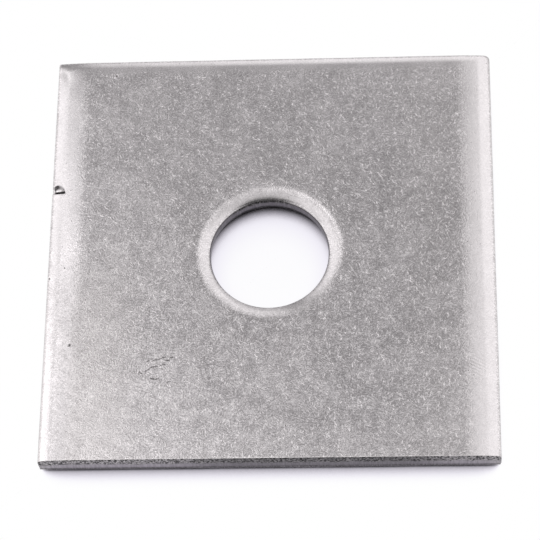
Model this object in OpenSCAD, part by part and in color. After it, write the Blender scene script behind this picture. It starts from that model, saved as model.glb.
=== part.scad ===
// Square plate washer, pierced and parted from flat stainless strip.
//
// Every cut face has the section that shearing leaves: a broad roll where the blade went in,
// a smooth upright band, and a torn band that leans away from it towards the far face.
// The left, right and rear edges and the bore were cut from above, the rear edge by a keener
// blade that left a narrower roll. The front edge was cut from below, so its section is upside down.
//
// Lengths are in millimetres. The origin is on the bore axis at the level of the underside,
// +Z points up through the bore, and the front edge faces -Y.

/* [Plate] */
// Width, left edge to right edge
plate_w = 50; // [30:0.5:100]
// Length, front edge to rear edge
plate_l = 50; // [30:0.5:100]
// Thickness of the strip
plate_t = 3; // [2.4:0.1:8]
// Plan radius of the four upright corners
corner_r = 0.3; // [0.1:0.05:2]

/* [Bore] */
// Diameter of the bore's smooth band, a clearance hole for an M12 bolt
bore_d = 13.2; // [6:0.1:24]
// How far the middle of the plate lies to the right of the bore axis
middle_right = 0.15; // [-1:0.05:1]
// How far the middle of the plate lies to the rear of the bore axis
middle_rear = 0.15; // [-1:0.05:1]

/* [Section of the edges] */
// How far in from the left, right and front edges their roll begins
edge_roll_w = 3.4; // [1:0.1:5]
// How far the broad part of that roll would sink at the edge
edge_roll_d = 0.35; // [0.15:0.05:0.7]
// How far in from the rear edge its roll begins
rear_roll_w = 1.1; // [0.9:0.1:5]
// How far the broad part of the rear roll would sink at the edge
rear_roll_d = 0.16; // [0.12:0.02:0.3]
// Radius that turns the roll into the upright band
edge_roll_r = 0.35; // [0.1:0.05:0.7]
// Height of the torn band
edge_tear_h = 1.1; // [0.3:0.1:1.8]
// How far the torn band leans in at the far face
edge_tear_lean = 0.1; // [0.02:0.02:0.3]
// Chamfer left by tumbling at the far face
edge_break = 0.1; // [0.02:0.02:0.2]

/* [Section of the bore] */
// How far out from the bore its roll begins
bore_roll_w = 1.8; // [0.8:0.1:4]
// How far the broad part of the roll would sink at the bore
bore_roll_d = 0.45; // [0.15:0.05:0.7]
// Radius that turns the roll into the smooth band
bore_roll_r = 0.5; // [0.1:0.05:0.7]
// Height of the torn band
bore_tear_h = 0.9; // [0.3:0.1:1.6]
// How far the torn band opens out at the far face
bore_tear_lean = 0.42; // [0.02:0.02:0.5]
// Chamfer left by tumbling at the far face
bore_break = 0.06; // [0.02:0.02:0.2]

/* [Nick in the left edge] */
// How far the nick lies to the rear of the bore axis
nick_rear = 8.9; // [-12:0.1:12]
// Radius of the rounded hollow
nick_r = 1.2; // [0.8:0.1:2.5]
// Depth of the hollow below the top face
nick_depth = 0.7; // [0.4:0.05:1.2]
// How far the middle of the hollow lies in from the edge
nick_in = 0.6; // [0:0.05:1]

/* [Hidden] */
// Smoothness of the arcs
$fn = 96;
// How far a cutting shape runs past the metal
over = 1;
// Angle at which a roll leaves the face
lead_in = 1.5;
// Angle at which it meets the upright band
lead_out = 5;
// How far the turning radius stands proud of the broad arc
proud = 0.002;
bore_radius = bore_d / 2;

// Radius of the broad arc, which leaves the face w before the edge and is d below it there
function broad_radius(w, d) = norm([w, d]) / (2 * sin(atan2(d, w) - lead_in));

// Middle of the broad arc
function broad_middle(w, d) = [-w, 0] - broad_radius(w, d) * [sin(lead_in), cos(lead_in)];

// Middle of the turning radius r, which crosses the broad arc and then the upright band
function turn_middle(w, d, r) =
    let (x = -r * cos(lead_out), across = x - broad_middle(w, d)[0], reach = broad_radius(w, d) - r)
    [x, broad_middle(w, d)[1] + sqrt(reach * reach - across * across) + proud];

// Height at which the turning radius meets the upright band, below zero
function roll_foot(w, d, r) = turn_middle(w, d, r)[1] + r * sin(lead_out);

// Metal under a roll: the broad arc as far as the turning radius, then that radius.
// The face is y = 0, the upright band is x = 0, and the metal is on the side of -x.
module rolled_metal(w, d, r) {
    start = broad_middle(w, d);
    middle = turn_middle(w, d, r);
    meet = middle + r * (middle - start) / norm(middle - start);
    intersection() {
        translate(start)
            circle(r = broad_radius(w, d), $fn = 720);
        union() {
            translate([start[0] - over, middle[1] - over])
                square([meet[0] - start[0] + over, 2 * over - middle[1]]);
            translate(middle)
                circle(r = r);
        }
    }
}

// What shearing takes from a square-cut edge, as a flat section in the same place
module shear_waste(w, d, r, tear_h, lean, chamfer) {
    foot = roll_foot(w, d, r);
    difference() {
        translate([broad_middle(w, d)[0], foot])
            square([over - broad_middle(w, d)[0], over - foot]);
        rolled_metal(w, d, r);
    }
    polygon([
        [0, tear_h - plate_t],
        [-lean, chamfer - plate_t],
        [-lean - chamfer, -plate_t],
        [-lean - chamfer, -plate_t - over],
        [over, -plate_t - over],
        [over, tear_h - plate_t]
    ]);
}

// Waste of one straight edge, which faces +X at x = 0 with its roll, w wide and d deep, at z = 0
module edge_waste(run, w = edge_roll_w, d = edge_roll_d) {
    rotate([90, 0, 0])
        linear_extrude(height = run + 2 * over, center = true)
            shear_waste(w, d, edge_roll_r, edge_tear_h, edge_tear_lean, edge_break);
}

// Waste of the bore about its axis, with its roll at z = 0
module bore_waste() {
    rotate_extrude() {
        translate([0, -plate_t - over])
            square([bore_radius, plate_t + 2 * over]);
        translate([bore_radius, 0])
            mirror([1, 0])
                shear_waste(bore_roll_w, bore_roll_d, bore_roll_r, bore_tear_h, bore_tear_lean, bore_break);
    }
}

// Square piece of strip before the shear marks, about its own middle
module blank() {
    linear_extrude(height = plate_t) {
        square([plate_w - 2 * corner_r, plate_l], center = true);
        square([plate_w, plate_l - 2 * corner_r], center = true);
        for (x = [-1, 1], y = [-1, 1])
            translate([x * (plate_w / 2 - corner_r), y * (plate_l / 2 - corner_r)])
                circle(r = corner_r);
    }
}

module plate_washer() {
    color("#a9a5a7")
        difference() {
            translate([middle_right, middle_rear, 0])
                difference() {
                    blank();
                    // right, left and rear edges, rolled at the top
                    translate([plate_w / 2, 0, plate_t])
                        edge_waste(plate_l);
                    translate([-plate_w / 2, 0, plate_t])
                        mirror([1, 0, 0])
                            edge_waste(plate_l);
                    translate([0, plate_l / 2, plate_t])
                        rotate([0, 0, 90])
                            edge_waste(plate_w, rear_roll_w, rear_roll_d);
                    // front edge, rolled at the underside
                    translate([0, -plate_l / 2, 0])
                        rotate([180, 0, -90])
                            edge_waste(plate_w);
                }
            translate([0, 0, plate_t])
                bore_waste();
            // nick from a knock on the left edge
            translate([
                middle_right - plate_w / 2 + nick_in,
                nick_rear,
                plate_t - nick_depth + nick_r
            ])
                sphere(r = nick_r);
        }
}

plate_washer();
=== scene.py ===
"""Square plate washer: its sheared and tumbled surface, finish, light and camera.

Lengths are in millimetres until a mesh is written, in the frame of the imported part: the origin
is on the bore axis at the underside, +Z is up, and the front edge faces -Y.
"""

import bpy
import numpy as np
from mathutils import Matrix


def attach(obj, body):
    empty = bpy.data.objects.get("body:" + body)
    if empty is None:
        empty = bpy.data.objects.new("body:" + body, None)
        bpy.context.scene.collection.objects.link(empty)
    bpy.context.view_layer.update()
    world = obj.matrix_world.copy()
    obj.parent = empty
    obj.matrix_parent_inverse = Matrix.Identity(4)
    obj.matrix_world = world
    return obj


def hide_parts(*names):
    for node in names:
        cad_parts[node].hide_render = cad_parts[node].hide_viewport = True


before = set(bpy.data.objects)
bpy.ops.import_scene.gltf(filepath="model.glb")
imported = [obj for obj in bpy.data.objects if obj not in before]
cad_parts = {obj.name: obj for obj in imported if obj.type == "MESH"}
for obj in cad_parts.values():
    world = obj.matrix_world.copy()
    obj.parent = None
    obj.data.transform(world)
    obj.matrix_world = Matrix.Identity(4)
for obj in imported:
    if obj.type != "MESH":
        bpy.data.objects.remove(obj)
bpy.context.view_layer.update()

MM = 0.001

# Sizes of the washer, as in the part's source
WIDTH = 50.0
LENGTH = 50.0
THICK = 3.0
MIDDLE_X = 0.15
MIDDLE_Y = 0.15
BORE_R = 6.6
LEFT_EDGE = MIDDLE_X - WIDTH / 2.0

# Plan radii of the upright corners
FRONT_CORNER_R = 0.12
REAR_LEFT_CORNER_R = 0.15
REAR_RIGHT_CORNER_R = 0.6

# Section of the edges: width, depth and power of the roll, width and depth of the brow at its edge,
# turning radius, height and lean of the torn band, and edge break
EDGE_CUT = {
    "roll_w": 4.0, "roll_d": 0.2, "power": 1.5, "brow_w": 1.5, "brow_d": 0.15,
    "turn_r": 0.35, "tear_h": 1.1, "lean": 0.06, "chamfer": 0.06,
}
# The roll of the front edge, which is at the underside, is deeper by this factor
FRONT_DEEPER = 1.4
# The rear edge comes to the same turning radius by a narrower roll
REAR_CUT = {"roll_w": 1.1, "roll_d": 0.16, "power": 2.0, "brow_w": 1.0, "brow_d": 0.0}
# Section of the bore
BORE_CUT = {
    "roll_w": 2.2, "roll_d": 0.45, "power": 2.6, "brow_w": 1.0, "brow_d": 0.0,
    "turn_r": 0.5, "tear_h": 1.55, "lean": 0.42, "chamfer": 0.06,
}


def smooth(low, high, x):
    """Smooth step: 0 on the far side of low, 1 on the far side of high, 3t^2 - 2t^3 between."""
    t = np.clip((x - low) / (high - low), 0.0, 1.0)
    return t * t * (3.0 - 2.0 * t)


def value_noise(x, y, seed):
    """Random heights from -1 to 1 on a whole-number lattice, blended with a smooth step between."""
    table = np.random.default_rng(seed).uniform(-1.0, 1.0, (256, 256))
    xi = np.floor(x).astype(int)
    yi = np.floor(y).astype(int)
    fx = smooth(0.0, 1.0, x - xi)
    fy = smooth(0.0, 1.0, y - yi)
    near = table[xi % 256, yi % 256] * (1.0 - fx) + table[(xi + 1) % 256, yi % 256] * fx
    far = table[xi % 256, (yi + 1) % 256] * (1.0 - fx) + table[(xi + 1) % 256, (yi + 1) % 256] * fx
    return near * (1.0 - fy) + far * fy


def layered_noise(x, y, seed, layers):
    """Sum of value noises, each layer twice as fine and half as high as the one before."""
    total = 0.0
    for k in range(layers):
        total = total + value_noise(x * 2.0 ** k, y * 2.0 ** k, seed + k) * 0.5 ** k
    return total


def roll_drop(inset, cut):
    """Depth of a roll below its face.

    It is a power of the share of the roll's width, and a parabola over the brow at the edge.
    """
    roll = np.clip(1.0 - inset / cut["roll_w"], 0.0, None)
    brow = np.clip(1.0 - inset / cut["brow_w"], 0.0, None)
    return cut["roll_d"] * roll ** cut["power"] + cut["brow_d"] * brow ** 2


def roll_slope(inset, cut):
    """Fall of the roll per millimetre towards the edge, the derivative of its depth."""
    roll = np.clip(1.0 - inset / cut["roll_w"], 0.0, None)
    brow = np.clip(1.0 - inset / cut["brow_w"], 0.0, None)
    of_roll = cut["power"] * cut["roll_d"] / cut["roll_w"] * roll ** (cut["power"] - 1.0)
    return of_roll + 2.0 * cut["brow_d"] / cut["brow_w"] * brow


def turn_join(cut):
    """Slope angle, inset and depth where the turning radius takes over from the roll.

    The radius touches the upright band, so its point of slope a is r (1 - sin a) in from the band.
    The angle is found by repeating that until it agrees with the roll's own slope.
    """
    angle = 0.2
    for _ in range(30):
        inset = cut["turn_r"] * (1.0 - np.sin(angle))
        angle = np.arctan(roll_slope(inset, cut))
    return angle, inset, roll_drop(inset, cut)


# Insets of the outer wall where it meets the face with the roll and the far face
EDGE_JOIN = turn_join(EDGE_CUT)[1]
EDGE_FAR = EDGE_CUT["lean"] + EDGE_CUT["chamfer"]


def cut_section(cut, steps):
    """Inset from the upright band and height above the far face, as far as the start of the broad roll.

    In order: the broken edge as a quarter round, the torn band's straight lean, the upright band,
    and the turning radius from upright to the slope of the roll.
    """
    n_break, n_tear, n_band, n_turn = steps
    angle, _, join_depth = turn_join(cut)
    foot = THICK - join_depth - cut["turn_r"] * np.cos(angle)
    a = np.linspace(0.0, np.pi / 2.0, n_break + 1)
    tear = np.linspace(0.0, 1.0, n_tear + 1)[1:]
    band = np.linspace(cut["tear_h"], foot, n_band + 1)[1:]
    turn = np.linspace(0.0, np.pi / 2.0 - angle, n_turn + 1)[1:]
    inset = np.concatenate([
        cut["lean"] + cut["chamfer"] * (1.0 - np.sin(a)),
        cut["lean"] * (1.0 - tear),
        np.zeros(n_band),
        cut["turn_r"] * (1.0 - np.cos(turn)),
    ])
    height = np.concatenate([
        cut["chamfer"] * (1.0 - np.cos(a)),
        cut["chamfer"] + (cut["tear_h"] - cut["chamfer"]) * tear,
        band,
        foot + cut["turn_r"] * np.sin(turn),
    ])
    return inset, height


# Nick struck into the left edge: its middle, its half width and height from the groove at its front, the
# depth and fall of its floor, the depth of the groove and height of the lip, and the middle and width of
# the groove, the lip before it and the lit strip behind it, which is a painted highlight
NICK = {
    "inset": 0.75, "front": 8.0, "half_w": 0.8, "rise": 1.02, "deep": 0.3, "fall": 0.12,
    "groove_d": 0.5, "lip_h": 0.03, "groove": (0.08, 0.15), "lip": (-0.16, 0.1), "lit": (0.4, 0.1),
}
# Shallow dish round the nick: its middle across and to the rear, its half sizes and its depth
NICK_DISH = {"across": -0.2, "rear": 0.3, "half_w": 1.05, "half_l": 1.55, "depth": 0.045}
# How far the floor of the nick and its groove are shut off from the light, as painted shade
FLOOR_SHUT = 0.45
GROOVE_SHUT = 1.4


def hump(x, middle, width):
    """Bell curve: 1 at the middle and 1 / e at the width from it."""
    return np.exp(-((x - middle) / width) ** 2)


def nick_cut(x, y):
    """Depth of the nick below the face, how far it is shut off from the light as painted shade, and its lit
    strip, a painted highlight.

    The dent is half an ellipse with its straight side to the front: its floor falls towards a narrow groove
    there, and past the groove the metal is pushed up into a lip. A wide, shallow dish lies behind it.
    """
    u = x - LEFT_EDGE - NICK["inset"]
    w = y - NICK["front"]
    reach = np.hypot(u / NICK["half_w"], w / NICK["rise"])
    behind = smooth(-0.03, 0.05, w)
    inside = behind * smooth(1.0, 0.7, reach)
    across = smooth(0.72, 0.45, np.abs(u - 0.1))
    groove = across * hump(w, *NICK["groove"])
    lip = across * hump(w, *NICK["lip"])
    dish_u = (u - NICK_DISH["across"]) / NICK_DISH["half_w"]
    dish_w = (w - NICK_DISH["rear"]) / NICK_DISH["half_l"]
    dish = smooth(1.0, 0.82, np.hypot(dish_u, dish_w)) * behind
    floor_depth = NICK["deep"] + NICK["fall"] * np.clip(1.0 - w / NICK["rise"], 0.0, 1.0)
    depth = inside * floor_depth + NICK["groove_d"] * groove - NICK["lip_h"] * lip + NICK_DISH["depth"] * dish
    lit = smooth(0.42, 0.25, np.abs(u + 0.05)) * hump(w, *NICK["lit"])
    shut = FLOOR_SHUT * inside * (1.0 - lit) + GROOVE_SHUT * groove
    return depth, np.clip(shut, 0.0, 1.0), lit


# Dip of the rear left corner: its depth, its reach from the rear edge, the share of the way along that edge,
# and the length from the corner over which the left roll comes in
CORNER_DIP = {"depth": 0.26, "reach": 1.9, "along": 0.4, "roll_in": 3.6}

# Rows of the mesh in the edge break, torn band, upright band and turning radius of a section
WALL_STEPS = (3, 9, 7, 7)
BORE_STEPS = (2, 7, 6, 8)

# Columns of the mesh along the front, right, rear and left edge, and where they lie closer: centre and half
# width as parts of half the edge, and weight
EDGE_COLUMNS = (270, 180, 150, 220)
CLOSE_AT_ENDS = [(-1.0, 0.012, 6.0), (1.0, 0.012, 6.0)]
CLOSE_AT_NICK = [(-0.345, 0.045, 3.5), (-0.316, 0.008, 8.0)]

# Rows of the faces: how far the square rings reach in from the walls, how much of that has them closest, the
# least radius of their corners, how far past the bore's roll the circles begin, and the same at the underside
RING_REACH = 3.6
CLOSE_REACH = 1.9
LEAST_CORNER_R = 0.08
PAST_ROLL = 0.2
UNDER_PAST_BORE = 0.9

# Unevenness of the top face: its height and the spacing of its lattice
UNEVEN_H = 0.004
UNEVEN_SPACING = 5.0

# Outer wall: where the torn band begins and is full, as shares of the height from the rolled side, its ragged
# edge, how far it is rough and sunk, how far the wall wavers, and the share over which that fades at a face
WALL_TORN = {"band": (0.52, 0.68), "ragged": 0.06, "rough": 0.045, "sunk": 0.02, "waver": 0.012, "fade": 0.06}

# Front wall: shares of the height over which its painted shade at the foot begins, and places towards which
# its ends get lighter
PAINTED_FOOT_SHADE_BAND = (0.3, 0.2)
LIGHTER_LEFT = (-3.0, -13.0)
LIGHTER_RIGHT = (15.0, 21.0)
LIGHTER_RIGHT_SHARE = 0.8

# Bore: the same of its torn band, as shares of the thickness from the top, with a height as the fade
BORE_TORN = {"band": (0.5, 0.6), "ragged": 0.05, "rough": 0.04, "sunk": 0.01, "fade": 0.1}
# Spacing of the noise round the bore, as the radius of the circle on which it is read
BORE_WAVE = 4.0
# Dark streaks and painted shade of the bore: heights over which they begin above and below the drawn band,
# their ragged edge, their least share, and the cosines round the bore between which the upper part lies
STREAKS_AND_SHADE = {
    "above": (2.1, 2.25), "below": (1.5, 1.3), "ragged": 0.12, "least": 0.3,
    "right": (0.5, 0.2), "left": (-0.72, -0.55),
}

# Distances from the sides, the rear and the bore over which the face goes over into its rolled part
ROLLED_SIDE = (4.2, 2.0)
ROLLED_REAR = (2.6, 0.8)
ROLLED_LIP = (1.8, 0.7)
ROLLED_LIP_SHARE = 0.7
# Distances from the bore over which painted shade darkens its lip, and by how much
DARK_LIP = (1.6, 0.8)
DARK_LIP_SHARE = 0.1

# Parts of the left roll darkened by painted shade and brightened by a painted highlight: ranges to the rear
# and from the left edge, and shares
PAINTED_LIGHT = {
    "front_y": (0.0, -10.0), "front_outer": (0.9, 2.4), "front_inner": (4.9, 3.1),
    "rim_y": (-5.0, -16.0), "rim_x": (2.5, 0.6), "rim": 1.2,
    "corner_y": (5.5, 2.5), "corner_x": (6.0, 3.5), "corner": 0.8,
    "lit": 4.0,
}


def spread(count, boosts):
    """Places from -1 to 1 along an edge, closer together round each boost's centre, half width and weight."""
    g = np.linspace(-1.0, 1.0, 4001)
    weight = np.ones_like(g)
    for centre, half, extra in boosts:
        weight = weight + extra * np.exp(-((g - centre) / half) ** 2)
    total = np.concatenate([[0.0], np.cumsum(0.5 * (weight[1:] + weight[:-1]))])
    return np.interp(np.arange(count) / count * total[-1], total, g)


def outline_columns():
    """Points round a unit square, anticlockwise from the front left corner, and their run along the edges."""
    closer = [CLOSE_AT_ENDS] * 3 + [CLOSE_AT_ENDS + CLOSE_AT_NICK]
    front, right, rear, left = (spread(*given) for given in zip(EDGE_COLUMNS, closer))
    bx = np.concatenate([front, np.ones_like(right), -rear, -np.ones_like(left)])
    by = np.concatenate([-np.ones_like(front), right, np.ones_like(rear), -left])
    run = np.concatenate([
        (front + 1.0) * WIDTH / 2.0,
        WIDTH + (right + 1.0) * LENGTH / 2.0,
        WIDTH + LENGTH + (rear + 1.0) * WIDTH / 2.0,
        2.0 * WIDTH + LENGTH + (left + 1.0) * LENGTH / 2.0,
    ])
    return bx, by, run


BX, BY, RUN = outline_columns()
TURN = np.arctan2(BY, BX)
CORNER_R = np.where(BY > 0.0, np.where(BX > 0.0, REAR_RIGHT_CORNER_R, REAR_LEFT_CORNER_R), FRONT_CORNER_R)


def front_share():
    """1 on the front edge and 0 on the others, with a smooth change 0.5 mm either side of a front corner."""
    into_front = np.where(BY <= -1.0, WIDTH / 2.0 * (1.0 - np.abs(BX)), -LENGTH / 2.0 * (1.0 + BY))
    return smooth(-0.5, 0.5, into_front)


FRONT = front_share()


def ring(side_inset, front_inset, radius):
    """The square outline with rounded corners, moved in by front_inset at the front, else by side_inset."""
    half_x = WIDTH / 2.0 - side_inset
    half_y = np.where(BY > 0.0, LENGTH / 2.0 - side_inset, LENGTH / 2.0 - front_inset)
    x = BX * half_x
    y = BY * half_y
    past_x = np.abs(x) - (half_x - radius)
    past_y = np.abs(y) - (half_y - radius)
    corner = (past_x > 0.0) & (past_y > 0.0)
    reach = np.where(corner, np.hypot(past_x, past_y), 1.0)
    x = np.where(corner, np.sign(x) * (half_x - radius + radius * past_x / reach), x)
    y = np.where(corner, np.sign(y) * (half_y - radius + radius * past_y / reach), y)
    return x + MIDDLE_X, y + MIDDLE_Y


def circle(radius):
    """A circle about the bore axis, one point to a column."""
    return radius * np.cos(TURN), radius * np.sin(TURN)


def top_height(x, y):
    """Height of the top face: the thickness less the rolls of the left, right and rear edges and of the bore.

    The left roll fades out at the rear left corner, which dips by a parabola of the distance from it instead.
    """
    from_left = x - LEFT_EDGE
    from_rear = LENGTH / 2.0 - y + MIDDLE_Y
    left = roll_drop(from_left, EDGE_CUT) * smooth(-0.8, CORNER_DIP["roll_in"], from_rear)
    right = roll_drop(WIDTH / 2.0 - x + MIDDLE_X, EDGE_CUT)
    rear = roll_drop(from_rear, REAR_CUT)
    from_corner = (CORNER_DIP["along"] * from_left + from_rear) / CORNER_DIP["reach"]
    dip = CORNER_DIP["depth"] * np.clip(1.0 - from_corner, 0.0, 1.0) ** 2
    bore = roll_drop(np.hypot(x, y) - BORE_R, BORE_CUT)
    uneven = UNEVEN_H * layered_noise(x / UNEVEN_SPACING, y / UNEVEN_SPACING, 11, 2)
    nick, _, _ = nick_cut(x, y)
    return THICK - left - right - rear - dip - bore - nick + uneven


def under_height(x, y):
    """Height of the underside: level, but for the roll of the front edge."""
    return FRONT_DEEPER * roll_drop(y - MIDDLE_Y + LENGTH / 2.0, EDGE_CUT)


def outer_wall():
    """Rows of the outer cut face from the underside to the top face, with its torn, painted foot shade and
    lighter-ends shares.

    A row is a share of the height between the two faces. The side section is read from the underside
    up and the front section upside down, and each gives the inset of its own edges. Layered noise pushes
    the torn band in. The front has painted shade at its foot, and it gets lighter towards its ends.
    """
    inset, height = cut_section(EDGE_CUT, WALL_STEPS)
    share = height / height[-1]
    side_v = share[:, None]
    front_v = (1.0 - share[::-1])[:, None]
    v = side_v * (1.0 - FRONT) + front_v * FRONT
    side_inset = np.interp(v, share, inset)
    front_inset = np.interp(v, 1.0 - share[::-1], inset[::-1])
    down = np.where(FRONT > 0.5, v, 1.0 - v)
    ragged = WALL_TORN["ragged"] * layered_noise(RUN * 0.9, v * 2.0, 21, 2)
    torn = smooth(*WALL_TORN["band"], down + ragged)
    rough = layered_noise(RUN[None, :] * 2.2 + 0.0 * v, v * 6.0, 31, 3)
    waver = WALL_TORN["waver"] * value_noise(RUN * 0.35 + 0.0 * v, v * 0.5, 41)
    push = torn * (WALL_TORN["rough"] * rough + WALL_TORN["sunk"]) + waver
    fade = smooth(0.0, WALL_TORN["fade"], v) * smooth(0.0, WALL_TORN["fade"], 1.0 - v)
    x, y = ring(side_inset + push * fade, front_inset + push * fade, CORNER_R)
    low = under_height(x[0], y[0])
    high = top_height(x[-1], y[-1])
    z = low + (high - low) * v
    # Painted shade along the foot of the front wall
    foot = FRONT * smooth(*PAINTED_FOOT_SHADE_BAND, v)
    lighter_ends = FRONT * (smooth(*LIGHTER_LEFT, x) + LIGHTER_RIGHT_SHARE * smooth(*LIGHTER_RIGHT, x))
    return np.stack([x, y, z], -1), torn, foot, lighter_ends


def rings(steps, side_inset, front_inset):
    """Square rings, moved in by each of the steps from where they begin at the sides and at the front."""
    return [
        ring(side_inset + step, front_inset + step, np.maximum(CORNER_R - step, LEAST_CORNER_R))
        for step in steps
    ]


def rows_between(first, last, count):
    """Rows in plan that go evenly from one to another, without the first."""
    shares = np.linspace(0.0, 1.0, count + 1)[1:]
    return [[a + (b - a) * share for a, b in zip(first, last)] for share in shares]


def lifted(rows, height):
    """Rows in plan, each point lifted to its height."""
    x, y = np.array(rows).transpose(1, 0, 2)
    return np.stack([x, y, height(x, y)], -1)


def top_rows():
    """Rows of the top face from the outer wall to the bore: square rings, a blend, then circles."""
    steps = np.concatenate([
        np.linspace(0.0, CLOSE_REACH, 19)[1:],
        np.linspace(CLOSE_REACH, RING_REACH, 8)[1:],
    ])
    rows = rings(steps, EDGE_JOIN, EDGE_FAR)
    rows += rows_between(rows[-1], circle(BORE_R + BORE_CUT["roll_w"] + PAST_ROLL), 15)
    _, bore_inset, _ = turn_join(BORE_CUT)
    for inset in np.linspace(BORE_CUT["roll_w"] + PAST_ROLL, bore_inset, 13)[1:]:
        rows.append(circle(BORE_R + inset))
    return lifted(rows, top_height)


def bore_rows():
    """Rows of the bore from the foot of its roll down to the underside, with how far each has dark streaks
    and painted shade.

    Layered noise roughens the torn band. The dark streaks and painted shade lie below the drawn band, and
    above it at the rear and the front, each with a ragged edge.
    """
    inset, height = cut_section(BORE_CUT, BORE_STEPS)
    inset = inset[::-1][1:, None]
    height = height[::-1][1:, None]
    down = 1.0 - height / THICK
    wave_x, wave_y = circle(BORE_WAVE)
    torn_edge = BORE_TORN["ragged"] * layered_noise(wave_x * 1.6, wave_y * 1.6, 51, 2)
    torn = smooth(*BORE_TORN["band"], down + torn_edge)
    rough = layered_noise(wave_x * 5.0 + height * 3.0, wave_y * 5.0 - height * 3.0, 61, 2)
    fade = smooth(0.0, BORE_TORN["fade"], height)
    radius = BORE_R + inset + torn * fade * (BORE_TORN["rough"] * rough + BORE_TORN["sunk"])
    x, y = circle(radius)
    z = height + 0.0 * x
    ragged = STREAKS_AND_SHADE["ragged"] * layered_noise(wave_x * 3.0, wave_y * 3.0, 71, 3)
    amid = smooth(*STREAKS_AND_SHADE["right"], np.cos(TURN)) * smooth(*STREAKS_AND_SHADE["left"], np.cos(TURN))
    above = amid * smooth(*STREAKS_AND_SHADE["above"], height + ragged)
    below = smooth(*STREAKS_AND_SHADE["below"], height + ragged)
    streaks_and_shade = np.maximum(np.maximum(above, below), STREAKS_AND_SHADE["least"])
    return np.stack([x, y, z], -1), streaks_and_shade + 0.0 * x


def under_rows():
    """Rows of the underside from the bore to the outer wall: a circle, a blend, then square rings."""
    inner = circle(BORE_R + UNDER_PAST_BORE)
    outer = ring(EDGE_FAR + RING_REACH, EDGE_JOIN + RING_REACH, LEAST_CORNER_R)
    rows = [inner] + rows_between(inner, outer, 8)[:-1]
    rows += rings(np.linspace(RING_REACH, 0.0, 9)[:-1], EDGE_FAR, EDGE_JOIN)
    return lifted(rows, under_height)


def painted_light_share(x, y, lit):
    """How far painted shade darkens the face, where below 0 a painted highlight brightens it.

    Painted shade darkens the left roll along its front half and at the rear left corner, and a painted
    highlight brightens its rim towards the front. The lit strip in the nick, also a painted highlight, is
    brightest.
    """
    left = x - LEFT_EDGE
    rear = LENGTH / 2.0 - (y - MIDDLE_Y)
    front = smooth(*PAINTED_LIGHT["front_y"], y) * smooth(*PAINTED_LIGHT["front_outer"], left)
    front = front * smooth(*PAINTED_LIGHT["front_inner"], left)
    rim = smooth(*PAINTED_LIGHT["rim_y"], y) * smooth(*PAINTED_LIGHT["rim_x"], left)
    corner = smooth(*PAINTED_LIGHT["corner_y"], rear) * smooth(*PAINTED_LIGHT["corner_x"], left)
    return front - PAINTED_LIGHT["rim"] * rim + PAINTED_LIGHT["corner"] * corner - PAINTED_LIGHT["lit"] * lit


def washer_surface():
    """The whole skin as one closed grid: round the outline one way, round the section the other.

    With it come the shares that the materials read, one to a point, and which cells are of wall steel.
    """
    wall, torn, foot, lighter_ends = outer_wall()
    top = top_rows()
    bore, streaks_and_shade = bore_rows()
    under = under_rows()
    parts = (wall, top, bore, under)

    def over_all(*shares):
        """One share or array for each of the four parts, as one array."""
        return np.concatenate([share + np.zeros(part.shape[:2]) for share, part in zip(shares, parts)])

    x, y = top[..., 0], top[..., 1]
    side = WIDTH / 2.0 - np.abs(x - MIDDLE_X)
    rear = LENGTH / 2.0 - (y - MIDDLE_Y)
    lip = np.hypot(x, y) - BORE_R
    rolled_edge = np.maximum(smooth(*ROLLED_SIDE, side), smooth(*ROLLED_REAR, rear))
    rolled = np.maximum(rolled_edge, ROLLED_LIP_SHARE * smooth(*ROLLED_LIP, lip))
    _, shut, lit = nick_cut(x, y)
    # Painted shade: the nick shut off from the light, and a band at the bore's lip
    hollow = np.maximum(shut, DARK_LIP_SHARE * smooth(*DARK_LIP, lip))
    values = {
        "painted_light": over_all(0.0, painted_light_share(x, y, lit), 0.0, 0.0),
        "torn": over_all(torn, 0.0, 0.0, 0.0),
        "rolled": over_all(0.0, rolled, 0.0, 0.0),
        "hollow": over_all(0.0, hollow, 0.0, 0.0),
        # The front wall's foot share is painted shade, the bore's share dark streaks and painted shade
        "streaks_and_shade": over_all(foot, 0.0, streaks_and_shade, 0.0),
        "lighter_ends": over_all(lighter_ends, 0.0, 0.0, 0.0),
    }
    turned = WALL_STEPS[3]
    sides = np.arange(len(wall) - 1)[:, None] < len(wall) - 1 - turned
    front = np.arange(len(wall) - 1)[:, None] >= turned
    kind = np.concatenate([
        np.where(FRONT > 0.5, front, sides),
        np.zeros(top.shape[:2], bool),
        np.repeat(np.arange(len(bore)) >= BORE_STEPS[3] // 2, len(BX)).reshape(-1, len(BX)),
        np.zeros((len(under) + 1, len(BX)), bool),
    ])
    return np.concatenate(parts), values, kind


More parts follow.
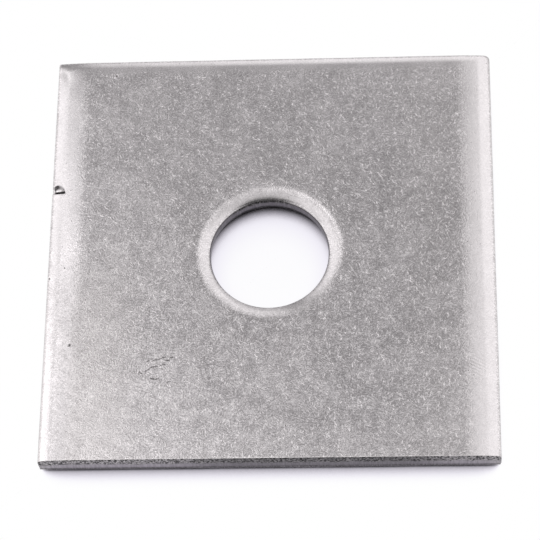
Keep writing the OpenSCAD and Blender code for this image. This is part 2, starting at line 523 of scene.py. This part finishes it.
def grid_mesh(name, points, values, cell_material, materials):
    """A closed mesh from a grid that wraps both ways, one quad to a cell, with a material to each cell.

    Each of the values is written as a point attribute of its own name.
    """
    rows, columns = points.shape[:2]
    index = np.arange(rows * columns).reshape(rows, columns)
    below = np.roll(index, -1, axis=0)
    quads = np.stack([index, np.roll(index, -1, axis=1), np.roll(below, -1, axis=1), below], -1)
    quads = quads.reshape(-1, 4)
    mesh = bpy.data.meshes.new(name)
    mesh.vertices.add(rows * columns)
    mesh.vertices.foreach_set("co", (points * MM).astype(np.float32).ravel())
    mesh.loops.add(quads.size)
    mesh.loops.foreach_set("vertex_index", quads.astype(np.int32).ravel())
    mesh.polygons.add(len(quads))
    mesh.polygons.foreach_set("loop_start", np.arange(0, quads.size, 4, dtype=np.int32))
    mesh.polygons.foreach_set("material_index", cell_material.astype(np.int32).ravel())
    mesh.polygons.foreach_set("use_smooth", np.ones(len(quads), bool))
    for material in materials:
        mesh.materials.append(material)
    mesh.update(calc_edges=True)
    for label, value in values.items():
        written = mesh.attributes.new(label, "FLOAT", "POINT")
        written.data.foreach_set("value", value.astype(np.float32).ravel())
    mesh.validate()
    return mesh


def node(tree, kind, inputs=None, **settings):
    """Adds a node, sets its properties, and fills its inputs with values or links."""
    made = tree.nodes.new(kind)
    for key, value in settings.items():
        setattr(made, key, value)
    for key, value in (inputs or {}).items():
        if isinstance(value, bpy.types.NodeSocket):
            tree.links.new(value, made.inputs[key])
        else:
            made.inputs[key].default_value = value
    return made


def math(tree, operation, first, second=0.0):
    """A Math node on values or sockets, giving its result."""
    return node(tree, "ShaderNodeMath", {0: first, 1: second}, operation=operation).outputs[0]


def times(tree, first, second):
    """The product of two values or sockets."""
    return math(tree, "MULTIPLY", first, second)


def plus(tree, first, second):
    """The sum of two values or sockets."""
    return math(tree, "ADD", first, second)


def off_middle(tree, value, strength):
    """A value from 0 to 1 less its middle, times a strength."""
    return times(tree, math(tree, "SUBTRACT", value, 0.5), strength)


def step(tree, value, low, high, at_low=0.0, at_high=1.0):
    """A smooth step of a socket from at_low, where it is low, to at_high, where it is high."""
    return node(tree, "ShaderNodeMapRange", {
        "Value": value, "From Min": low, "From Max": high, "To Min": at_low, "To Max": at_high,
    }, interpolation_type="SMOOTHSTEP").outputs[0]


def vector(tree, operation, first, second=(0.0, 0.0, 0.0)):
    """A Vector Math node on vectors or sockets, giving its vector."""
    return node(tree, "ShaderNodeVectorMath", {0: first, 1: second}, operation=operation).outputs[0]


def measure(tree, operation, first, second=(0.0, 0.0, 0.0)):
    """A Vector Math node on vectors or sockets, giving its value."""
    return node(tree, "ShaderNodeVectorMath", {0: first, 1: second}, operation=operation).outputs["Value"]


def scaled(tree, colour, factor):
    """A colour or vector times a factor."""
    return node(tree, "ShaderNodeVectorMath", {0: colour, "Scale": factor}, operation="SCALE").outputs[0]


def noise(tree, where, settings):
    """The outputs of a noise texture: its value and its colour."""
    return node(tree, "ShaderNodeTexNoise", {"Vector": where, **settings}).outputs


def effect_group(name, vectors, floats, result):
    """An empty shader node group with named sockets, and the outputs and inputs to build between."""
    group = bpy.data.node_groups.new(name, "ShaderNodeTree")
    for kind, labels in (("NodeSocketVector", vectors), ("NodeSocketFloat", floats)):
        for label in labels:
            group.interface.new_socket(label, in_out="INPUT", socket_type=kind)
    group.interface.new_socket(result, in_out="OUTPUT", socket_type="NodeSocketFloat")
    return group, node(group, "NodeGroupInput").outputs, node(group, "NodeGroupOutput").inputs


def group_node(tree, group, inputs):
    """The group placed in a material, with its inputs filled with values or links; gives its outputs."""
    return node(tree, "ShaderNodeGroup", inputs, node_tree=group).outputs


def turned_cells(group, given):
    """Place from the middle of a Voronoi cell, turned by the cell's random angle, and its random colour."""
    shift = node(group, "ShaderNodeCombineXYZ", {"X": given["Shift"], "Y": given["Shift"]}).outputs[0]
    place = vector(group, "ADD", given["Place"], shift)
    scale = math(group, "DIVIDE", 1.0, given["Cell"])
    cells = node(group, "ShaderNodeTexVoronoi", {"Vector": place, "Scale": scale}, voronoi_dimensions="2D")
    chance = node(group, "ShaderNodeSeparateColor", {0: cells.outputs["Color"]}).outputs
    local = vector(group, "SUBTRACT", place, cells.outputs["Position"])
    angle = times(group, chance[0], 2.0 * np.pi)
    turned = node(group, "ShaderNodeVectorRotate", {"Vector": local, "Angle": angle}, rotation_type="Z_AXIS")
    return turned.outputs[0], chance


def within(group, value, limit):
    """A parabola of a value: 1 where it is 0, and 0 from the limit on."""
    share = math(group, "POWER", math(group, "ABSOLUTE", math(group, "DIVIDE", value, limit)), 2.0)
    return math(group, "MAXIMUM", math(group, "SUBTRACT", 1.0, share), 0.0)


def short_marks_group():
    """Tumbling marks: one short curved groove to each Voronoi cell, turned at random about the cell's middle.

    Mark is (1 - (u / Length)^2) (1 - (v / Width)^2), each floored at 0, with u along the groove and v across
    it after a random share of u^2 has bent it. A random weight leaves some cells nearly bare.
    """
    floats = ["Cell", "Length", "Width", "Shift"]
    group, given, result = effect_group("short_marks", ["Place"], floats, "Mark")
    local, chance = turned_cells(group, given)
    along, across, _ = node(group, "ShaderNodeSeparateXYZ", {0: local}).outputs
    bend = times(group, off_middle(group, chance[1], 3.0), times(group, along, along))
    bent = plus(group, across, bend)
    groove = times(group, within(group, along, given["Length"]), within(group, bent, given["Width"]))
    group.links.new(times(group, groove, chance[2]), result["Mark"])
    return group


def scuff_patches_group():
    """Dense scuffing: noise drawn out along a direction of its own in each Voronoi cell, from 0 to 1."""
    floats = ["Cell", "Along", "Across", "Shift"]
    group, given, result = effect_group("scuff_patches", ["Place"], floats, "Scuff")
    local, chance = turned_cells(group, given)
    stretch = node(group, "ShaderNodeCombineXYZ", {"X": given["Along"], "Y": given["Across"], "Z": 1.0})
    apart = node(group, "ShaderNodeCombineXYZ", {"Z": times(group, chance[1], 50.0)}).outputs[0]
    where = vector(group, "ADD", vector(group, "MULTIPLY", local, stretch.outputs[0]), apart)
    group.links.new(noise(group, where, {"Scale": 1.0, "Detail": 1.0})[0], result["Scuff"])
    return group


def pit_group():
    """A round pit at a given place, 1 in the middle and 0 from its radius on."""
    group, given, result = effect_group("placed_pit", ["Place", "Middle"], ["Radius"], "Pit")
    away = measure(group, "DISTANCE", given["Place"], given["Middle"])
    group.links.new(step(group, away, given["Radius"], 0.0), result["Pit"])
    return group


def scratch_group():
    """A straight scratch between two places, 1 on its line and 0 from its half width on."""
    group, given, result = effect_group("placed_scratch", ["Place", "Start", "End"], ["Width"], "Scratch")
    span = vector(group, "SUBTRACT", given["End"], given["Start"])
    offset = vector(group, "SUBTRACT", given["Place"], given["Start"])
    along = measure(group, "DOT_PRODUCT", offset, span)
    whole = measure(group, "DOT_PRODUCT", span, span)
    share = node(group, "ShaderNodeClamp", {"Value": math(group, "DIVIDE", along, whole)}).outputs[0]
    away = measure(group, "DISTANCE", offset, scaled(group, span, share))
    group.links.new(step(group, away, given["Width"], 0.0), result["Scratch"])
    return group


SHORT_MARKS = short_marks_group()
SCUFF_PATCHES = scuff_patches_group()
PLACED_PIT = pit_group()
PLACED_SCRATCH = scratch_group()

# Pits in the top face: x, y and radius
PITS = [
    (-18.0, 23.1, 0.28), (-21.9, -11.1, 0.24), (2.0, -21.0, 0.14), (-24.6, -2.8, 0.16),
    (-20.4, -5.6, 0.12), (-15.7, -3.0, 0.1), (-22.4, 4.3, 0.1), (-22.9, -1.6, 0.12), (-17.0, 10.1, 0.12),
    (4.1, 20.9, 0.1), (7.4, 11.6, 0.1), (8.5, 16.7, 0.1), (20.4, -3.7, 0.12), (22.1, 0.9, 0.12),
    (21.6, -7.7, 0.12), (21.8, -14.8, 0.12), (22.4, -15.3, 0.1),
]

# Dark scratches in the top face, broken into short runs of places
SCRATCHES = [
    [(-14.1, -14.4), (-13.75, -14.7)],
    [(-13.4, -14.4), (-12.7, -13.85), (-12.1, -13.85)],
    [(-11.75, -13.65), (-11.3, -13.55)],
    [(-13.3, -13.25), (-13, -13.15)],
    [(-12.55, -13.1), (-12.1, -13), (-11.5, -12.75), (-11.2, -12.7)],
    [(-11.4, -13.05), (-10.8, -13.15)],
    [(-10.75, -12.8), (-10.4, -12.7)],
    [(-12.85, -15.2), (-12.3, -15.4), (-11.85, -15.25)],
    [(-10.95, -15.7), (-10.7, -15.55)],
]

# Bright scratch in the top face: its two ends and its half width
KEEN_SCRATCH = {"Start": (8.78, -1.56, 0.0), "End": (9.89, -3.31, 0.0), "Width": 0.12}

# Patch of ripples on the right roll: its middle, its radius, and the way across the ripples per millimetre
RIPPLES = {"Middle": (22.4, -14.2, 0.0), "Radius": 1.9}
RIPPLE_WAY = (8.1, 16.0, 0.0)

# Marks of tumbling: size of a cell, length and half width of its mark, and where the pattern starts
LONG_MARKS = {"Cell": 0.62, "Length": 0.3, "Width": 0.055, "Shift": 3.0}
FINE_MARKS = {"Cell": 0.4, "Length": 0.2, "Width": 0.045, "Shift": 31.0}
SPECKS = {"Cell": 2.2, "Length": 0.12, "Width": 0.07, "Shift": 83.0}
SCUFFS = {"Cell": 0.7, "Along": 2.2, "Across": 8.0, "Shift": 57.0}

# Noises of the face
CLOUD = {"Scale": 0.22, "Detail": 3.0}
GRAIN = {"Scale": 7.0, "Detail": 1.0}
WAVER = {"Scale": 5.0, "Detail": 1.0}
MOTTLE = {"Scale": 0.9, "Detail": 3.0, "Roughness": 0.6}

# Heights of the marks, in millimetres, and the half width and waver of a dark scratch
LONG_MARK_H = -0.006
FINE_MARK_H = -0.004
SCUFF_H = 0.005
GRAIN_H = 0.003
PIT_H = -0.03
SCRATCH_WIDTH = 0.11
SCRATCH_WAVER = (0.35, 0.35, 0.0)

# Share of the wear that the rolled parts keep, and what the front of the left roll keeps besides
ROLLED_WEAR = 0.27
FRONT_LEFT_WEAR = 0.3

# Strengths of the scuffs, grain and mottling in the tone, how far it is set back, and its range
SCUFF_TONE = 0.5
GRAIN_TONE = 0.5
MOTTLE_TONE = 0.3
TONE_BACK = 0.01
TONE_RANGE = (-0.2, 0.2)
FLECK_TONE = (0.04, 0.16)

# What the rolled parts, the bright scratch and the ripples add to the shine
ROLLED_SHINE = 0.12
KEEN_SHINE = 0.6
RIPPLE_SHINE = 0.3

# Places over which the front left begins, to the left and to the front, and the calm right
FRONT_LEFT_X = (-12.0, -19.0)
FRONT_LEFT_Y = (6.0, -8.0)
CALM_RIGHT_X = (12.0, 19.0)
# How calm the tone is there: on the flat and on the roll of the front left, and on the right
CALM_LEFT = (0.45, 0.1)
CALM_RIGHT = 0.2
# Places over which the tone grows stronger towards the front, and its strength at the rear and the front
FRESH_Y = (12.0, -6.0)
FRESH_SHARES = (0.8, 1.05)

# How far the painted light darkens a part, per unit of its share; below 0 it brightens it as a painted
# highlight
PAINTED_LIGHT_SCALE = -0.17

# Colours of the face: dull, bright and calm steel, dirt, which also serves as painted shade, and the painted
# deep shade of what is shut off from the light
DULL_STEEL = (0.408, 0.386, 0.394, 1.0)
BRIGHT_STEEL = (0.788, 0.752, 0.765, 1.0)
CALM_STEEL = (0.607, 0.574, 0.573, 1.0)
DIRT_AND_SHADE = (0.06, 0.055, 0.055, 1.0)
PAINTED_DEEP_SHADE = (0.01, 0.009, 0.009, 1.0)

# Roughness of the face over its clouds, and what dirt and painted shade add
FACE_GLOSS = (0.17, 0.21)
DIRT_AND_SHADE_GLOSS = 0.25

# Grain of the wall, per millimetre along x, y and z, and its noise: drag lines, score lines and crumbs
DRAG = ((7.0, 7.0, 0.4), {"Scale": 1.0, "Detail": 2.0})
STREAK = ((8.0, 8.0, 1.2), {"Scale": 1.0, "Detail": 2.0})
CRUMB = ((4.2, 4.2, 4.6), {"Scale": 1.0, "Detail": 4.0, "Roughness": 0.6})

# Colours of the wall, dark and light: the drawn band, the torn band, and the band of dark streaks that also
# stands for painted shade
DRAWN_STEEL = ((0.137, 0.127, 0.139, 1.0), (0.203, 0.189, 0.206, 1.0))
TORN_STEEL = ((0.025, 0.023, 0.025, 1.0), (0.27, 0.257, 0.268, 1.0))
STREAKS_AND_SHADE_STEEL = ((0.035, 0.032, 0.033, 1.0), (0.2, 0.19, 0.195, 1.0))

# Roughness of the wall on the drawn and the torn band, and heights of its drag lines and crumbs
WALL_GLOSS = (0.36, 0.55)
DRAG_H = 0.006
CRUMB_H = 0.09


def blank_material(name):
    """A material with an empty node tree."""
    material = bpy.data.materials.new(name)
    material.use_nodes = True
    material.node_tree.nodes.clear()
    return material, material.node_tree


def in_millimetres(tree):
    """Object coordinates in millimetres."""
    coords = node(tree, "ShaderNodeTexCoord").outputs["Object"]
    return scaled(tree, coords, 1.0 / MM)


def attribute(tree, name):
    """A point attribute of the mesh as a value."""
    return node(tree, "ShaderNodeAttribute", attribute_name=name).outputs["Fac"]


def blend(tree, share, first, second):
    """A mix of two colours, or of a socket and a colour, by a share."""
    return node(tree, "ShaderNodeMix", {0: share, 6: first, 7: second}, data_type="RGBA").outputs[2]


def most(tree, values):
    """The largest of several values."""
    largest = values[0]
    for value in values[1:]:
        largest = math(tree, "MAXIMUM", largest, value)
    return largest


def metal_output(tree, colour, gloss, height):
    """Bare metal of a colour and a roughness, with a bump from a height in millimetres, as the surface."""
    bump = node(tree, "ShaderNodeBump", {"Height": height, "Distance": MM})
    shader = node(tree, "ShaderNodeBsdfPrincipled", {
        "Base Color": colour, "Metallic": 1.0, "Roughness": gloss, "Normal": bump.outputs["Normal"],
    })
    out = node(tree, "ShaderNodeOutputMaterial")
    tree.links.new(shader.outputs["BSDF"], out.inputs["Surface"])


def tumbled_face():
    """Face steel: tumbling marks, scuffs, pits and scratches as grooves, and clouding of colour and gloss.

    The tone is a sum of the scuffs, flecks, grain and mottling, weaker on the rolled parts. It sets the share
    of bright steel. The front left and the right are calmer, and pits and scratches are dark with dirt.
    Painted shade darkens the nick and the bore's lip, and painted light darkens and brightens the left roll
    and the nick.
    """
    material, tree = blank_material("tumbled_face")
    place = in_millimetres(tree)
    flat = vector(tree, "MULTIPLY", place, (1.0, 1.0, 0.0))
    rightward, forward, _ = node(tree, "ShaderNodeSeparateXYZ", {0: place}).outputs
    rolled = attribute(tree, "rolled")
    hollow = attribute(tree, "hollow")
    long_marks, fine_marks, specks = (
        group_node(tree, SHORT_MARKS, {"Place": place, **marks})["Mark"]
        for marks in (LONG_MARKS, FINE_MARKS, SPECKS)
    )
    scuffs = group_node(tree, SCUFF_PATCHES, {"Place": place, **SCUFFS})["Scuff"]
    cloud, grain, mottle = (noise(tree, place, settings)[0] for settings in (CLOUD, GRAIN, MOTTLE))
    sideways = vector(tree, "SUBTRACT", noise(tree, place, WAVER)[1], (0.5, 0.5, 0.5))
    wavy = vector(tree, "ADD", flat, vector(tree, "MULTIPLY", sideways, SCRATCH_WAVER))
    pits = most(tree, [
        group_node(tree, PLACED_PIT, {"Place": flat, "Middle": (x, y, 0.0), "Radius": r})["Pit"]
        for x, y, r in PITS
    ])
    lines = most(tree, [
        group_node(tree, PLACED_SCRATCH, {
            "Place": wavy, "Start": (*start, 0.0), "End": (*end, 0.0), "Width": SCRATCH_WIDTH})["Scratch"]
        for run in SCRATCHES for start, end in zip(run[:-1], run[1:])
    ])

    front_left = times(tree, step(tree, rightward, *FRONT_LEFT_X), step(tree, forward, *FRONT_LEFT_Y))
    extra = times(tree, times(tree, front_left, rolled), FRONT_LEFT_WEAR)
    worn = plus(tree, step(tree, rolled, 0.0, 1.0, 1.0, ROLLED_WEAR), extra)
    grooves = plus(tree, times(tree, long_marks, LONG_MARK_H), times(tree, fine_marks, FINE_MARK_H))
    rough = plus(tree, times(tree, scuffs, SCUFF_H), times(tree, grain, GRAIN_H))
    wear = times(tree, plus(tree, grooves, rough), worn)
    sunk = times(tree, math(tree, "MAXIMUM", pits, lines), PIT_H)

    fleck_share = step(tree, mottle, 0.35, 0.65, *FLECK_TONE)
    flecks = times(tree, plus(tree, long_marks, fine_marks), fleck_share)
    tones = plus(tree, off_middle(tree, scuffs, SCUFF_TONE), flecks)
    tones = plus(tree, tones, off_middle(tree, grain, GRAIN_TONE))
    tones = plus(tree, tones, off_middle(tree, mottle, MOTTLE_TONE))
    fresh = step(tree, forward, *FRESH_Y, *FRESH_SHARES)
    tones = times(tree, math(tree, "SUBTRACT", tones, TONE_BACK), fresh)

    keen = group_node(tree, PLACED_SCRATCH, {"Place": flat, **KEEN_SCRATCH})["Scratch"]
    patch = group_node(tree, PLACED_PIT, {"Place": flat, **RIPPLES})["Pit"]
    ripple = times(tree, math(tree, "SINE", measure(tree, "DOT_PRODUCT", wavy, RIPPLE_WAY)), patch)
    shine = step(tree, times(tree, tones, worn), *TONE_RANGE)
    for value, added in ((rolled, ROLLED_SHINE), (keen, KEEN_SHINE), (ripple, RIPPLE_SHINE)):
        shine = plus(tree, shine, times(tree, value, added))

    calm_left = times(tree, front_left, step(tree, rolled, 0.0, 1.0, *CALM_LEFT))
    calm = math(tree, "MAXIMUM", calm_left, step(tree, rightward, *CALM_RIGHT_X, 0.0, CALM_RIGHT))
    steel = blend(tree, calm, blend(tree, shine, DULL_STEEL, BRIGHT_STEEL), CALM_STEEL)
    # Painted shade and highlight on the left roll, and the nick's lit strip, scale the steel's colour
    painted_light = times(tree, attribute(tree, "painted_light"), PAINTED_LIGHT_SCALE)
    steel = scaled(tree, steel, plus(tree, painted_light, 1.0))
    # Dirt in the pits, scratches and specks, and painted shade in the nick and at the bore's lip
    dirt_and_shade = most(tree, [pits, times(tree, lines, 0.9), hollow, step(tree, specks, 0.4, 0.8, 0.0, 0.6)])
    colour = blend(tree, dirt_and_shade, steel, DIRT_AND_SHADE)
    # Deepest painted shade, in the nick's groove
    colour = blend(tree, step(tree, hollow, 0.6, 0.95), colour, PAINTED_DEEP_SHADE)
    gloss = plus(tree, step(tree, cloud, 0.3, 0.7, *FACE_GLOSS), times(tree, dirt_and_shade, DIRT_AND_SHADE_GLOSS))
    metal_output(tree, colour, gloss, plus(tree, wear, sunk))
    return material


def sheared_wall():
    """Wall steel: a drawn band with drag lines, a torn band, dark with bright crumbs, and a band of dark
    streaks that also stands for painted shade.
    """
    material, tree = blank_material("sheared_wall")
    place = in_millimetres(tree)
    torn = attribute(tree, "torn")
    drag, streak, crumb = (
        noise(tree, vector(tree, "MULTIPLY", place, ways), settings)[0]
        for ways, settings in (DRAG, STREAK, CRUMB)
    )
    drawn_colour = blend(tree, step(tree, drag, 0.3, 0.7), *DRAWN_STEEL)
    torn_colour = blend(tree, step(tree, crumb, 0.44, 0.57), *TORN_STEEL)
    streaks_and_shade_colour = blend(tree, step(tree, streak, 0.45, 0.68), *STREAKS_AND_SHADE_STEEL)
    colour = blend(tree, torn, drawn_colour, torn_colour)
    # The front wall's colour gets lighter towards its ends
    colour = scaled(tree, colour, plus(tree, attribute(tree, "lighter_ends"), 1.0))
    # Dark streaks and painted shade: at the front wall's foot and on the bore wall
    colour = blend(tree, attribute(tree, "streaks_and_shade"), colour, streaks_and_shade_colour)
    gloss = step(tree, torn, 0.0, 1.0, *WALL_GLOSS)
    drawn_height = times(tree, times(tree, drag, DRAG_H), step(tree, torn, 0.0, 1.0, 1.0, 0.0))
    torn_height = times(tree, times(tree, crumb, CRUMB_H), torn)
    metal_output(tree, colour, gloss, plus(tree, drawn_height, torn_height))
    return material


points, values, kind = washer_surface()
mesh = grid_mesh("washer_skin", points, values, kind, [tumbled_face(), sheared_wall()])
washer = bpy.data.objects.new("washer_skin", mesh)
bpy.context.scene.collection.objects.link(washer)
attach(washer, "root")
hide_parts("plate_washer")


# Brightness of the parts of the surround, where white is 1: the gap is at the rear and the room in front, and
# there is at most the ground level near the ground
GAP_LEVEL = 0.15
LEFT_LEVEL = 2.5
HIGH_STRIP_LEVEL = 2.1
HIGH_LEFT_LEVEL = 0.6
HIGH_FAR_LEFT_LEVEL = 1.4
RIGHT_LEVEL = 1.38
LOW_LEVEL = 1.3
DIM_LEVEL = 0.43
FAR_LEFT_LEVEL = 1.5
SIDE_LEVEL = 1.2
OVERHEAD_LEVEL = 0.93
ROOM_LEVEL = 0.06
ROOM_HIGH_LEVEL = 0.14
GROUND_LEVEL = 0.85
LAMP_LEVEL = 0.3

# Azimuths from the rear, positive to the right, over which one part of the surround gives way to the next
GAP_LEFT = np.radians((-20.8, -24.8))
GAP_RIGHT = np.radians((4.5, 18.5))
DIM_RIGHT = np.radians((-9.0, -12.0))
DIM_LEFT = np.radians((-18.0, -30.0))
HIGH_LEFT = np.radians((-29.0, -33.0))
HIGH_FAR_LEFT = np.radians((-43.0, -50.0))
# The gap's left edge leans: the elevation at which it is at its azimuth, and its lean
GAP_PIVOT = np.radians(62.0)
GAP_TILT = 0.8

# Elevations over which one part gives way to the next, and how far the overhead light leans to the side
LOW_EDGE = np.radians((64.0, 43.0))
OVERHEAD_EDGE = np.radians((66.8, 75.0))
OVERHEAD_LEAN = 0.2
HIGH_LEFT_EDGE = np.radians((58.0, 53.5))
HIGH_STRIP_EDGE = np.radians((58.0, 63.0))
GROUND_EDGE = np.radians((36.0, 26.0))
ROOM_HIGH_EDGE = np.radians((10.0, 28.0))

# Parts of the direction that point to the rear, over which the sides and the room take over
SIDE_EDGE = (0.3, 0.0)
ROOM_EDGE = (-0.08, -0.38)

# Parts of the direction that point to the right, over which the room gives way to the sides again, and
# those to either side within which the ground is dimmed
ROOM_LEFT = (-0.3, -0.6)
ROOM_RIGHT = (0.4, 0.75)
GROUND_SIDE = (0.9, 0.74)

# Left lamp: where it is, as azimuth and elevation, and its spread
LAMP_AZIMUTH, LAMP_ELEVATION, LAMP_SPREAD = np.radians((-22.0, 65.0, 8.5))


def between(tree, share, first, second):
    """A value that goes from first to second by a share."""
    return node(tree, "ShaderNodeMix", {0: share, 2: first, 3: second}, data_type="FLOAT").outputs[0]


def past(tree, value, edge, first, second):
    """A value that goes from first to second as another passes over an edge."""
    return between(tree, step(tree, value, *edge), first, second)


def studio_surround():
    """World whose brightness follows the direction looked at, by smooth steps from one level to the next.

    A dark gap at the rear gives way to the left and right screens by azimuth, low down to the table, high up
    to the overhead light, and further round to the sides and the dim room in front. Near the ground the rear
    is dimmed. The left lamp adds a bell curve of the angle from it. The camera sees white.
    """
    world = bpy.data.worlds.new("studio")
    world.use_nodes = True
    tree = world.node_tree
    tree.nodes.clear()
    toward = node(tree, "ShaderNodeTexCoord").outputs["Generated"]
    right, rear, up = node(tree, "ShaderNodeSeparateXYZ", {0: toward}).outputs
    azimuth = math(tree, "ARCTAN2", right, rear)
    elevation = math(tree, "ARCSINE", up)
    tilt = times(tree, math(tree, "SUBTRACT", GAP_PIVOT, elevation), GAP_TILT)
    tilted = plus(tree, azimuth, tilt)
    strip = past(tree, elevation, HIGH_STRIP_EDGE, LEFT_LEVEL, HIGH_STRIP_LEVEL)
    level = past(tree, tilted, GAP_LEFT, GAP_LEVEL, strip)
    high_left = past(tree, azimuth, HIGH_FAR_LEFT, HIGH_LEFT_LEVEL, HIGH_FAR_LEFT_LEVEL)
    high_left = past(tree, elevation, HIGH_LEFT_EDGE, high_left, FAR_LEFT_LEVEL)
    level = past(tree, azimuth, HIGH_LEFT, level, high_left)
    level = past(tree, azimuth, GAP_RIGHT, level, RIGHT_LEVEL)
    low = past(tree, azimuth, DIM_RIGHT, LOW_LEVEL, DIM_LEVEL)
    low = past(tree, azimuth, DIM_LEFT, low, FAR_LEFT_LEVEL)
    low = past(tree, azimuth, GAP_RIGHT, low, RIGHT_LEVEL)
    level = past(tree, elevation, LOW_EDGE, level, low)
    leaning = plus(tree, elevation, times(tree, right, OVERHEAD_LEAN))
    level = past(tree, leaning, OVERHEAD_EDGE, level, OVERHEAD_LEVEL)
    aside = math(tree, "MAXIMUM", step(tree, right, *ROOM_LEFT), step(tree, right, *ROOM_RIGHT))
    level = between(tree, times(tree, step(tree, rear, *SIDE_EDGE), aside), level, SIDE_LEVEL)
    dimmed = math(tree, "MINIMUM", level, GROUND_LEVEL)
    not_aside = step(tree, math(tree, "ABSOLUTE", right), *GROUND_SIDE)
    level = between(tree, times(tree, step(tree, elevation, *GROUND_EDGE), not_aside), level, dimmed)
    room = times(tree, step(tree, rear, *ROOM_EDGE), math(tree, "SUBTRACT", 1.0, aside))
    far_room = past(tree, elevation, ROOM_HIGH_EDGE, ROOM_LEVEL, ROOM_HIGH_LEVEL)
    level = between(tree, room, level, far_room)
    lamp = (
        np.sin(LAMP_AZIMUTH) * np.cos(LAMP_ELEVATION),
        np.cos(LAMP_AZIMUTH) * np.cos(LAMP_ELEVATION),
        np.sin(LAMP_ELEVATION),
    )
    facing = measure(tree, "DOT_PRODUCT", toward, lamp)
    apart = math(tree, "DIVIDE", math(tree, "ARCCOSINE", math(tree, "MINIMUM", facing, 1.0)), LAMP_SPREAD)
    glow = math(tree, "EXPONENT", times(tree, times(tree, apart, apart), -0.5))
    level = plus(tree, level, times(tree, glow, LAMP_LEVEL))
    seen = node(tree, "ShaderNodeLightPath").outputs["Is Camera Ray"]
    sky = node(tree, "ShaderNodeBackground", {
        "Color": (1.0, 1.0, 1.0, 1.0),
        "Strength": math(tree, "MAXIMUM", level, seen),
    })
    out = node(tree, "ShaderNodeOutputWorld")
    tree.links.new(sky.outputs[0], out.inputs["Surface"])
    return world


bpy.context.scene.world = studio_surround()


# Painted shadow of the washer on the paper, a tone by how open it is to the light from above and behind:
# openness and colour
PAPER_TONES = [
    (0.13, (0.005, 0.004, 0.005, 1.0)),
    (0.21, (0.022, 0.02, 0.023, 1.0)),
    (0.3, (0.325, 0.31, 0.35, 1.0)),
    (0.38, (0.64, 0.615, 0.68, 1.0)),
    (0.46, (0.89, 0.87, 0.94, 1.0)),
    (0.52, (0.975, 0.97, 0.99, 1.0)),
    (0.62, (1.0, 1.0, 1.0, 1.0)),
]
# Colour of the paper as it lights the washer
PAPER = (0.86, 0.84, 0.88, 1.0)
# How far the paper is shaded from, in metres, and the way it looks
SHADE_REACH = 0.01
SHADE_WAY = (0.0, 0.5, 0.87)
# Distances from the bore axis over which the paper counts as in the bore, and the most open it is there:
# a base and a share of its openness
IN_BORE = (10.0, 9.0)
BORE_OPEN_BASE = 0.33
BORE_OPEN_SHARE = 0.25


def floor_material():
    """White paper: plain diffuse for the washer's own light, and a painted shadow, a tone by openness, for
    what looks at it.

    Openness is the share of the light from above and behind that the plate leaves free close by. It is held
    down in the bore, where the plate shades the paper from all round.
    """
    material, tree = blank_material("white_floor")
    paper = node(tree, "ShaderNodeBsdfDiffuse", {"Color": PAPER})
    way = node(tree, "ShaderNodeCombineXYZ", dict(enumerate(SHADE_WAY))).outputs[0]
    shade = node(tree, "ShaderNodeAmbientOcclusion", {"Distance": SHADE_REACH, "Normal": way}, samples=32)
    openness = shade.outputs["AO"]
    most_open = plus(tree, times(tree, openness, BORE_OPEN_SHARE), BORE_OPEN_BASE)
    sheltered = math(tree, "MINIMUM", openness, most_open)
    flat = vector(tree, "MULTIPLY", in_millimetres(tree), (1.0, 1.0, 0.0))
    openness = past(tree, measure(tree, "LENGTH", flat), IN_BORE, openness, sheltered)
    tones = node(tree, "ShaderNodeValToRGB", {"Fac": openness})
    stops = tones.color_ramp.elements
    stops[0].position, stops[0].color = PAPER_TONES[0]
    stops[1].position, stops[1].color = PAPER_TONES[-1]
    for position, colour in PAPER_TONES[1:-1]:
        stops.new(position).color = colour
    glow = node(tree, "ShaderNodeEmission", {"Color": tones.outputs["Color"]})
    path = node(tree, "ShaderNodeLightPath")
    rays = ("Is Camera Ray", "Is Glossy Ray", "Is Transmission Ray")
    looked_at = most(tree, [path.outputs[ray] for ray in rays])
    both = node(tree, "ShaderNodeMixShader", {0: looked_at, 1: paper.outputs[0], 2: glow.outputs[0]})
    out = node(tree, "ShaderNodeOutputMaterial")
    tree.links.new(both.outputs[0], out.inputs["Surface"])
    return material


# Floor: half its side and how far it lies below the washer, in metres
FLOOR_HALF = 1.5
FLOOR_DROP = 1e-5

floor_mesh = bpy.data.meshes.new("floor")
floor_corners = [
    (across * FLOOR_HALF, along * FLOOR_HALF, -FLOOR_DROP)
    for across, along in ((-1, -1), (1, -1), (1, 1), (-1, 1))
]
floor_mesh.from_pydata(floor_corners, [], [(0, 1, 2, 3)])
floor_mesh.materials.append(floor_material())
floor = bpy.data.objects.new("floor", floor_mesh)
bpy.context.scene.collection.objects.link(floor)

# Camera: its lens and sensor, its turn about the washer, and its place in millimetres
LENS = 168.045
SENSOR = 36.0
EYE_AZIMUTH, EYE_ELEVATION, EYE_ROLL = np.radians((7.61441, 63.60789, -7.73567))
EYE_PLACE = (16.6135, -125.7372, 254.0073)

camera = bpy.data.cameras.new("camera")
camera.sensor_width = SENSOR
camera.lens = LENS
camera.clip_start = 0.01
eye = bpy.data.objects.new("camera", camera)
back = np.array([
    np.sin(EYE_AZIMUTH) * np.cos(EYE_ELEVATION),
    -np.cos(EYE_AZIMUTH) * np.cos(EYE_ELEVATION),
    np.sin(EYE_ELEVATION),
])
level_across = np.cross((0.0, 0.0, 1.0), back)
level_across = level_across / np.linalg.norm(level_across)
level_up = np.cross(back, level_across)
right = np.cos(EYE_ROLL) * level_across + np.sin(EYE_ROLL) * level_up
above = -np.sin(EYE_ROLL) * level_across + np.cos(EYE_ROLL) * level_up
place = np.array(EYE_PLACE) * MM
eye.matrix_world = Matrix([*zip(right, above, back, place), (0.0, 0.0, 0.0, 1.0)])
bpy.context.scene.collection.objects.link(eye)
bpy.context.scene.camera = eye
bpy.context.scene.view_settings.view_transform = "Standard"
